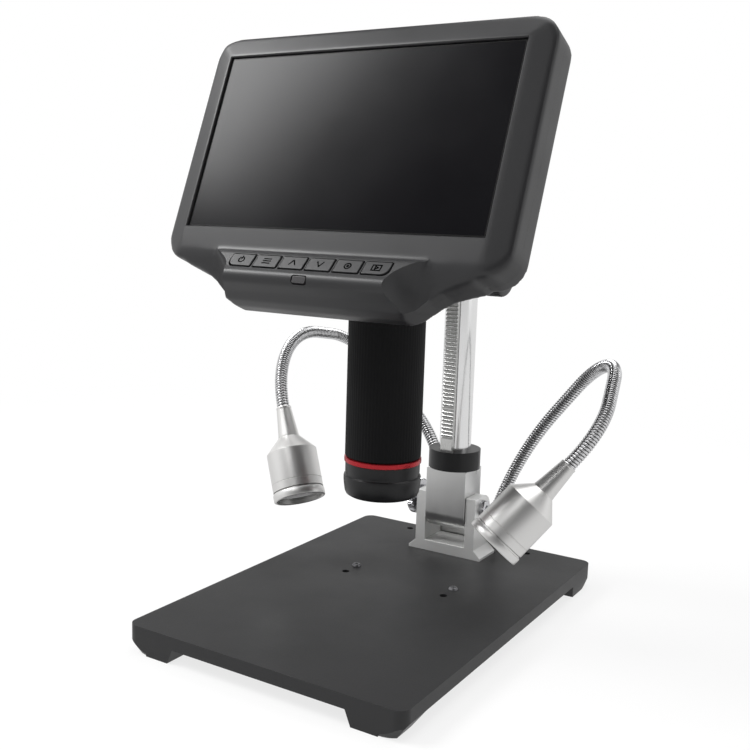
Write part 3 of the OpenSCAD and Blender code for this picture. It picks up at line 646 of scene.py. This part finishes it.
# %% The screen panel
FORWARD, MASK = 2.5, 0.7  # how far the glass is pushed forward, and the width of the mask
panel = block("screen_panel", (165, 2.6, 98.5), (0, 5.1, PANEL_Z))
pick(panel, lambda p: p.y < 5)
bpy.ops.mesh.inset(thickness=4.35 * MM, use_even_offset=True)
bpy.ops.transform.resize(value=(1, 1, (HIGH - 0.3) / 44.9), center_override=(0, 0, PANEL_Z * MM))
bpy.ops.transform.translate(value=(0, 0, -PANEL_Z * MM))
bpy.ops.mesh.extrude_region_move(TRANSFORM_OT_translate={"value": (0, -FORWARD * MM, 0)})
bpy.ops.mesh.inset(thickness=MASK * MM, use_even_offset=True)
bpy.ops.object.mode_set(mode="OBJECT")
rounded_edges(panel, 0.15, 1)
place(panel, screen_frame)
dress(panel, screen_mask, "head", ["lcd_panel"], 30)
panel.data.materials.append(finishes["screen_glass"])
normal = screen_frame.to_3x3() @ Vector((0, -1, 0))
for face in panel.data.polygons:
    if face.normal.dot(normal) > 0.99 and (screen_frame.inverted() @ face.center).length < 0.01:
        face.material_index = 1
print("lit faces:", sum(f.material_index for f in panel.data.polygons))

# %% [markdown]
# ## Six buttons
# Each button is a small rounded cap that stands half a millimetre proud of its slot. The signs are the
# common ones: on and off, menu bars, up, down, select and picture. A sign is a thin inlay that rides on
# its button.

# %% Button caps
def joined(name, parts):
    """Joins a list of meshes into one piece."""
    only(parts[0])
    for part in parts:
        part.select_set(True)
    if len(parts) > 1:
        bpy.ops.object.join()
    parts[0].name = name
    return parts[0]


def strokes(points, width=0.6):
    """A thin bar from each point of a sign to the next, in millimetres."""
    parts = []
    for (x0, z0), (x1, z1) in zip(points, points[1:]):
        length = math.hypot(x1 - x0, z1 - z0)
        ux, uz = (x1 - x0) / length, (z1 - z0) / length
        nx, nz = -uz * width / 2, ux * width / 2
        ex, ez = ux * width / 2, uz * width / 2
        parts.append(prism("stroke", [(x0 - ex - nx, z0 - ez - nz), (x1 + ex - nx, z1 + ez - nz),
                                      (x1 + ex + nx, z1 + ez + nz), (x0 - ex + nx, z0 - ez + nz)],
                           -0.56, -0.3))
    return parts


signs = {
    1: [arc(0, 0, 1.45, 125, 415, 14), [(0, 0.3), (0, 2.0)]],
    2: [[(-1.9, 1.3), (1.9, 1.3)], [(-1.9, 0), (1.9, 0)], [(-1.9, -1.3), (1.9, -1.3)]],
    3: [[(-1.6, -1.2), (0, 1.4), (1.6, -1.2)]],
    4: [[(-1.6, 1.2), (0, -1.4), (1.6, 1.2)]],
    5: [arc(0, 0, 1.5, 0, 360, 16), arc(0, 0, 0.35, 0, 360, 6)],
    6: [[(-2.1, 1.5), (2.1, 1.5), (2.1, -1.5), (-2.1, -1.5), (-2.1, 1.5)],
        [(-0.6, 0.8), (0.9, 0), (-0.6, -0.8), (-0.6, 0.8)]],
}
for i in range(KEYS):
    button = "button_%d" % (i + 1)
    cap = prism("cap_%d" % (i + 1), key_outline(i, -0.3), -0.5, 3)
    rounded_edges(cap, 0.35, 3)
    combine(cap, block("stem", (3, 2, 3), (key_x(i), 3.0, KEY_ROW)), "UNION")
    place(cap, key_frame)
    dress(cap, finishes["charcoal_plastic"], button, [button], 30, True)
    inlay = joined("sign_%d" % (i + 1), [bar for line in signs[i + 1] for bar in strokes(line)])
    place(inlay, key_frame @ move_by(key_x(i), 0, KEY_ROW))
    dress(inlay, sign_ink, button, (), 0)

# %% [markdown]
# ## Turned pieces
# Lamps, knobs, rings and the nose of the barrel are made on a lathe. The way to model them is the same: a
# profile of radius and height is drawn once and spun about its axis. The seam is merged and the faces
# are turned outwards afterwards.

# %% The lathe
def turned(name, profile, matrix=Matrix.Identity(4), steps=64, closed=True):
    """Spins a profile of (radius, height) in millimetres about its own Z axis."""
    mesh = bpy.data.meshes.new(name)
    edges = [(i, i + 1) for i in range(len(profile) - 1)] + ([(len(profile) - 1, 0)] if closed else [])
    mesh.from_pydata([(r * MM, 0, z * MM) for r, z in profile], edges, [])
    obj = linked(name, mesh)
    edit_all(obj)
    bpy.ops.mesh.spin(steps=steps, angle=2 * math.pi, center=(0, 0, 0), axis=(0, 0, 1))
    bpy.ops.object.mode_set(mode="OBJECT")
    return place(tidy(obj), matrix)


def fluted(obj, radius, steps, factor):
    """Presses in two of every four columns of points that lie beyond a radius."""
    def pressed(p):
        column = math.floor(math.atan2(p.y, p.x) / (2 * math.pi) * steps + 0.5) % steps
        return math.hypot(p.x, p.y) > radius and column % 4 < 2

    pick(obj, pressed)
    bpy.ops.transform.resize(value=(factor, factor, 1), center_override=(0, 0, 0))
    bpy.ops.object.mode_set(mode="OBJECT")


print("the lathe is ready")

# %% [markdown]
# ### The barrel
# The grip on the barrel has fine straight ribs. It is spun with four steps to a rib, and every other pair
# of columns is pressed in. A glossy red ring and a dark nose piece with four spanner notches close it.

# %% Grip, ring and nose of the barrel
axis = move_by(0, -4, 0)
RIBS = 72
grip = turned("ribbed_grip", [(16.05, 85.8), (18.5, 85.8), (19.2, 86.4), (19.2, 160.2), (18.7, 161),
                              (16.05, 161)], steps=RIBS * 4)
fluted(grip, 19, RIBS * 4, 19.08 / 19.2)
dress(place(grip, axis), finishes["ribbed_rubber"], "focus_ring", ["focus_ring"], 20)
ring = turned("red_band", [(16.2, 82.95), (19.0, 82.95), (19.5, 83.3), (19.55, 84.3), (19.5, 85.3),
                           (19.0, 85.65), (16.2, 85.65)], axis, 96)
dress(ring, finishes["red_metal"], "head", ["red_ring"], 40)
nose_piece = turned("nose_piece", [
    (14, 67), (15.4, 66), (17.2, 66), (18.3, 66.7), (18.9, 68), (19.35, 71), (19.6, 73.4), (19.6, 75.4),
    (19.45, 76.1), (18.75, 76.6), (18.7, 77.4), (18.9, 78.0), (18.9, 82.9), (18.4, 83.2), (16.1, 83.2),
    (16.1, 70), (14, 70)], axis, 128)
for angle in (-70, 20, 110, 200):
    notch = block("notch", (4.2, 1.6, 0.9), (0, 0, 0))
    place(notch, axis @ turn_by(angle, "Z") @ move_by(0, -19.3, 77))
    combine(nose_piece, notch, "DIFFERENCE")
dress(nose_piece, finishes["black_metal"], "head", ["nose_cap"], 30)
tube = turned("barrel_inside", [(12, 69), (15.9, 69), (15.9, 161.2), (18.3, 161.2), (18.3, 162.8),
                                (15.9, 162.8), (15.9, 175.6), (12, 175.6)], axis)
dress(tube, finishes["black_metal"], "head", ["barrel_tube"], 30)
lens = turned("front_lens", [(0, 70.6), (4, 70.9), (8, 71.8), (11.9, 73.4), (11.9, 76), (9, 76.4),
                             (9, 98.6), (11.9, 99), (11.9, 100.6), (0, 100.9)], axis, closed=False)
dress(lens, finishes["lens_glass"], "head", ["lens_group"], 30)

# %% [markdown]
# ### Knobs
# The focus knobs and the lock screw have deep straight flutes for the fingers. The rim is spun in many
# steps and every other group is pressed in. The clamp nut of the tilt bolt is a bright disc with a fine
# knurl, made in the same way.

# %% Focus knobs, lock screw and clamp nut
for side_name, s in (("l", -1), ("r", 1)):
    knob = turned("focus_knob_" + side_name, [
        (3.05, 0), (7.6, 0), (8, 0.4), (8, 2.4), (12.6, 2.4), (13.4, 3.2), (13.4, 11.6), (12.8, 12.6),
        (11.9, 13), (9, 13), (8.6, 12.6), (0, 12.6), (0, 10.6), (3.05, 10.6)], steps=144, closed=False)
    edit_all(knob)
    bpy.ops.mesh.fill_holes(sides=200)
    tidy(knob)
    fluted(knob, 13, 144, 0.955)
    place(knob, move_by(s * 20.5, 60.948, 178) @ turn_by(90 * s, "Y"))
    dress(knob, finishes["black_plastic"], "focus_shaft", ["knob_" + side_name], 25)
screw = turned("lock_knob", [(0, -14.4), (2.4, -14.4), (2.4, 0.4), (6.2, 0.4), (7, 1.2), (7, 8), (6.2, 9),
                             (4, 9), (3.7, 8.6), (0, 8.6)], steps=96, closed=False)
fluted(screw, 6.9, 96, 0.93)
place(screw, move_by(0, 93, 198) @ turn_by(-90, "X"))
dress(screw, finishes["black_plastic"], "lock_screw", ["lock_screw"], 25)
nut = turned("clamp_nut", [(2.55, 0), (6.7, 0), (7, 0.3), (7, 1.8), (9.7, 1.8), (10.4, 2.4), (10.4, 5.6),
                           (9.8, 6.2), (7.6, 6.2), (7.2, 5.8), (2.55, 5.8)], steps=192)
fluted(nut, 10.3, 192, 0.96)
place(nut, move_by(-18.75, 77, 42.5) @ turn_by(-90, "Y"))
dress(nut, finishes["steel"], "base", ["tilt_nut"], 25)

# %% [markdown]
# ## Goosenecks
# A gooseneck is a hose wound from steel strip, with a pitch of a millimetre and a half. Its path is made
# of straight lengths and arcs. The surface is a tube whose radius swings by a quarter of a millimetre
# along a helix. Each neck is two pieces, split in the middle of its second arc.

# %% The path of a neck
STEP = 0.18  # from ring to ring of the tube
ROOT = {-1: (0, 0, 3), 1: (18.5, 28.5, 10.9)}  # lean, heading and first straight length
ARCS = {-1: [(159.5, 61.8, 56.4, 43.9), (108.1, 26, 100.8, 15.7), (332.4, 55.4, 83.2, 1)],
        1: [(312.3, 167, 22.7, 19), (319.3, 30.4, 106.2, 19.5), (347.2, 43.7, 49.8, 3.5)]}


def neck_path(s):
    """Points and directions along a neck, in millimetres, its two joints and its middle, and the lamp's
    frame. Each arc is given as a roll, a radius, an angle and the straight length after it."""
    lean, heading, first = ROOT[s]
    now = Matrix.Translation((s * 16, 98, 29)) @ turn_by(heading, "Z") @ turn_by(lean, "Y")
    path, marks = [], []

    def spot(frame):
        return frame.translation.copy(), frame.col[2].to_3d()

    def ahead(length):
        return now @ Matrix.Translation((0, 0, length))

    def bent(radius, angle):
        t = math.radians(angle)
        return (now @ Matrix.Translation((radius * (1 - math.cos(t)), 0, radius * math.sin(t)))
                @ turn_by(angle, "Y"))

    def line(length):
        nonlocal now
        count = max(2, int(length / STEP))
        path.extend(spot(ahead(length * k / count)) for k in range(count))
        now = ahead(length)

    line(first)
    for roll, radius, angle, after in ARCS[s]:
        now = now @ turn_by(roll, "Z")
        count = int(radius * math.radians(angle) / STEP)
        if len(marks) == 1:
            marks.append(len(path) + count // 2)
        path.extend(spot(bent(radius, angle * k / count)) for k in range(count))
        now = bent(radius, angle)
        if len(marks) in (0, 2):
            marks.append(spot(ahead(after / 2)))
        line(after)
    lamp = now.copy()
    line(5.5)
    return path, marks, lamp


print("neck lengths:", [round(len(neck_path(s)[0]) * STEP) for s in (-1, 1)], "mm")

# %% Winding the hose
# The faces deep in the groove of a neck take this darker grey, a painted shade between the turns of the
# hose.
groove_painted_shade = finish("painted_shade_in_groove", (0.12, 0.12, 0.12), 0.45, 0.8, grain=3000, bump=0.1)


def wound(name, path, phase=0.0, pitch=1.55, radius=3.43, swing=0.25, sides=12):
    """A tube along a path with a helical groove, closed at both ends. The faces deep in the groove take
    finish 1, a darker grey that is painted shade between the turns. Gives the piece and the length of its
    path."""
    verts, faces, runs = [], [], []
    normal, run, last = None, 0.0, path[0][0]
    for point, direction in path:
        run += (point - last).length
        last = point
        runs.append(run + phase)
        if normal is None:
            normal = direction.orthogonal().normalized()
        normal = (normal - direction * normal.dot(direction)).normalized()
        other = direction.cross(normal)
        for k in range(sides):
            angle = 2 * math.pi * k / sides
            r = radius + swing * math.cos(2 * math.pi * runs[-1] / pitch - angle)
            verts.append(((point + r * (math.cos(angle) * normal + math.sin(angle) * other)) * MM)[:])
    count = len(path)
    for i in range(count - 1):
        for k in range(sides):
            a, b = i * sides + k, i * sides + (k + 1) % sides
            faces.append((a, b, b + sides, a + sides))
    faces.append(tuple(reversed(range(sides))))
    faces.append(tuple(range((count - 1) * sides, count * sides)))
    mesh = bpy.data.meshes.new(name)
    mesh.from_pydata(verts, [], faces)
    for face in mesh.polygons[:(count - 1) * sides]:
        i, k = divmod(face.index, sides)
        swell = math.cos(math.pi * (runs[i] + runs[i + 1]) / pitch - 2 * math.pi * (k + 0.5) / sides)
        # faces deep in the groove get the painted shade
        face.material_index = int(swell < -0.55)
    return tidy(linked(name, mesh), 1e-8), run


def bend_at(obj):
    """Shades a neck piece, gives it its two finishes and writes its place into its mesh."""
    only(obj)
    bpy.ops.object.shade_smooth_by_angle(angle=math.radians(60))
    obj.data.materials.append(finishes["neck_chrome"])
    # finish 1 is the painted shade deep in the groove between the turns
    obj.data.materials.append(groove_painted_shade)
    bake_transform(obj)
    print(obj.name, len(obj.data.polygons), "faces")


lamp_frames = {}
for side_name, s in (("l", -1), ("r", 1)):
    path, (low_joint, middle, high_joint), lamp = neck_path(s)
    lamp_frames[side_name] = Matrix.Translation(lamp.translation * MM) @ lamp.to_3x3().to_4x4()
    lower, run = wound("neck_low_" + side_name, path[:middle + 1])
    upper, _ = wound("neck_high_" + side_name, path[middle:], phase=run)
    bend_at(lower)
    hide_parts("neck_lower_" + side_name, "neck_mid_" + side_name)
    bend_at(upper)
    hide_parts("neck_upper_" + side_name)
    point, direction = path[0]
    root = Matrix.Translation(point * MM) @ direction.to_track_quat("Z", "Y").to_matrix().to_4x4()
    cuff = turned("neck_cuff_" + side_name, [(3.75, 0), (4.7, 0), (4.8, 0.3), (4.8, 4.6), (4.3, 6.2),
                                             (3.75, 6.4)], root @ move_by(0, 0, 1.6 if s > 0 else 0), 40)
    dress(cuff, finishes["steel"], "base", ["neck_ferrule_" + side_name])

# %% [markdown]
# ## Lamps
# A lamp is five turned pieces: a slim cone that grips the neck, a body with a fine groove, a rim screwed
# on its mouth, a lens, and the dark cup behind the lens. The lathe leaves rings round the brushed metal,
# so its grain is a noise squeezed along the lamp's own axis.

# %% Lamp heads
for side_name, at in lamp_frames.items():
    body = "lamp_" + side_name
    brushed = finish("brushed_lamp_" + side_name, (0.76, 0.755, 0.745), 0.40, 1.0, grain=5000, bump=0.1,
                     depth=0.00002, stretch=(30, 30, 1), turn=at.to_euler(), centre=at.translation,
                     shade=0.03, spread=0.02)
    sleeve = turned("lamp_sleeve_" + side_name, [
        (3.72, 0), (4.1, 0), (4.25, 0.3), (4.25, 0.9), (4.15, 1.1), (4.2, 1.6), (5.75, 16.6), (5.9, 17.4),
        (5.9, 18.3), (3.72, 18.3)], at, 48)
    dress(sleeve, brushed, body)
    shell = turned("lamp_shell_" + side_name, [
        (3.8, 18.2), (5.9, 18.0), (6.25, 18.2), (6.55, 18.5), (13.6, 26.1), (13.95, 26.55), (14, 27),
        (14, 43.7), (13.8, 43.85), (13.8, 44.05), (14, 44.2), (14, 48.3), (12.1, 48.4), (12.1, 30.6),
        (3.8, 30.6)], at, 96)
    dress(shell, brushed, body, ["lamp_head_" + side_name], 30)
    rim = turned("lamp_rim_" + side_name, [
        (10.7, 45.6), (11.9, 45.6), (11.9, 48.6), (13.55, 48.65), (13.6, 49.3), (14.15, 49.5), (14.3, 49.8),
        (14.3, 52.9), (14.1, 53.3), (13.7, 53.5), (13.1, 53.45), (12.75, 53.1), (12.65, 51.2),
        (10.7, 51.0)], at, 96)
    dress(rim, brushed, body, ["lamp_bezel_" + side_name], 30)
    cover_lens = turned("lamp_glass_" + side_name, [
        (0, 51.9), (6, 51.85), (11, 51.6), (12.4, 51.3), (12.4, 51.0), (10.5, 50.9), (8.6, 48.6),
        (0, 48.4)], at, closed=False)
    dress(cover_lens, coated_glass, body, ["lamp_lens_" + side_name], 30)
    cup = turned("lamp_cup_" + side_name, [
        (0, 31), (6, 31), (7.5, 34), (10.2, 45.4), (11.5, 45.4), (11.5, 30.7), (0, 30.7)],
        at, 48, closed=False)
    dress(cup, finishes["black_metal"], body)

# %% [markdown]
# ## Finish the scene
# A pale floor, a white surround and four soft lights. Metal and glass see a room of their own: its front,
# behind the camera, and its ceiling are darker, as in a studio, which draws the dark streaks on round
# metal. The camera sees plain white, and the floor fades to white away from the stand.

# %% Floor, surround and light
bpy.ops.object.select_all(action="DESELECT")
bpy.ops.mesh.primitive_plane_add(size=8, location=(0, 0, 0))
floor = bpy.context.active_object
floor.name = "floor"


def mixed(tree, factor, first, second):
    """A Mix Shader node. Gives its result."""
    node = add(tree, "MixShader")
    for socket, source in zip(node.inputs, (factor, first, second)):
        feed(tree, source, socket)
    return node.outputs[0]


def by_ray(tree, output, plain, mirrored, seen):
    """Shows one shader to light, one to mirrors and glass, and one to the camera."""
    ray = add(tree, "LightPath").outputs
    mirror = math_node(tree, "MAXIMUM", ray["Is Glossy Ray"], ray["Is Transmission Ray"])
    feed(tree, mixed(tree, ray["Is Camera Ray"], mixed(tree, mirror, plain, mirrored), seen),
         tree.nodes[output].inputs["Surface"])


def vector_math(tree, operation, source, second=(0, 0, 0)):
    """A Vector Math node that gives a number."""
    node = add(tree, "VectorMath")
    node.operation = operation
    node.inputs[1].default_value = second
    feed(tree, source, node.inputs[0])
    return node.outputs["Value"]


WHITE = (1, 1, 1, 1)
paper = bpy.data.materials.new("pale_floor")
paper.use_nodes = True
tree = paper.node_tree
tree.nodes.remove(tree.nodes["Principled BSDF"])
matt = add(tree, "BsdfDiffuse", Color=(0.9, 0.9, 0.9, 1)).outputs[0]
glow = add(tree, "Emission", Color=WHITE, Strength=1).outputs[0]
pale = add(tree, "Emission", Color=WHITE, Strength=0.8).outputs[0]
away = vector_math(tree, "LENGTH", add(tree, "TexCoord").outputs["Object"])
fade = ramp(tree, away, 0.15, 0.7, 0.78, 1, smooth=True)
by_ray(tree, "Material Output", matt, pale, mixed(tree, fade, matt, glow))
floor.data.materials.append(paper)

world = bpy.data.worlds.new("surround")
bpy.context.scene.world = world
world.use_nodes = True
tree = world.node_tree
lit = tree.nodes["Background"]
lit.inputs["Color"].default_value = WHITE
lit.inputs["Strength"].default_value = 0.36
white = add(tree, "Background", Color=WHITE, Strength=1)
room = add(tree, "Background", Color=WHITE)
where = add(tree, "TexCoord").outputs["Generated"]
dark_side = math.radians(36)
forward = vector_math(tree, "DOT_PRODUCT", where, (math.sin(dark_side), -math.cos(dark_side), 0))
height = add(tree, "SeparateXYZ")
feed(tree, where, height.inputs[0])
dusk = ramp(tree, forward, 0.2, 0.93, 1, 0.25, smooth=True)
ceiling = ramp(tree, height.outputs["Z"], 0.2, 0.55, 1, 0.15, smooth=True)
feed(tree, math_node(tree, "MULTIPLY", dusk, ceiling), room.inputs["Strength"])
by_ray(tree, "World Output", lit.outputs[0], room.outputs[0], white.outputs[0])


def soft_light(name, stand, aim, size, power):
    """An area light that stands at one point and is aimed at another."""
    obj = linked(name, bpy.data.lights.new(name, "AREA"))
    obj.data.shape = "RECTANGLE"
    obj.data.size, obj.data.size_y = size
    obj.data.energy = power
    obj.location = stand
    obj.rotation_euler = (Vector(aim) - Vector(stand)).to_track_quat("-Z", "Y").to_euler()


soft_light("key", (-0.92, -0.43, 1.14), (0, 0, 0.23), (0.62, 0.62), 17)
soft_light("fill", (0.95, 0.1, 0.5), (0, 0, 0.15), (0.4, 0.8), 1)
soft_light("front", (-0.07, -0.9, 1.1), (0, 0, 0.2), (0.5, 0.5), 2)
soft_light("top", (0.1, 0.3, 1.1), (0, 0, 0.1), (0.8, 0.8), 6)
bpy.context.scene.view_settings.view_transform = "Standard"
print("floor and lights are in")
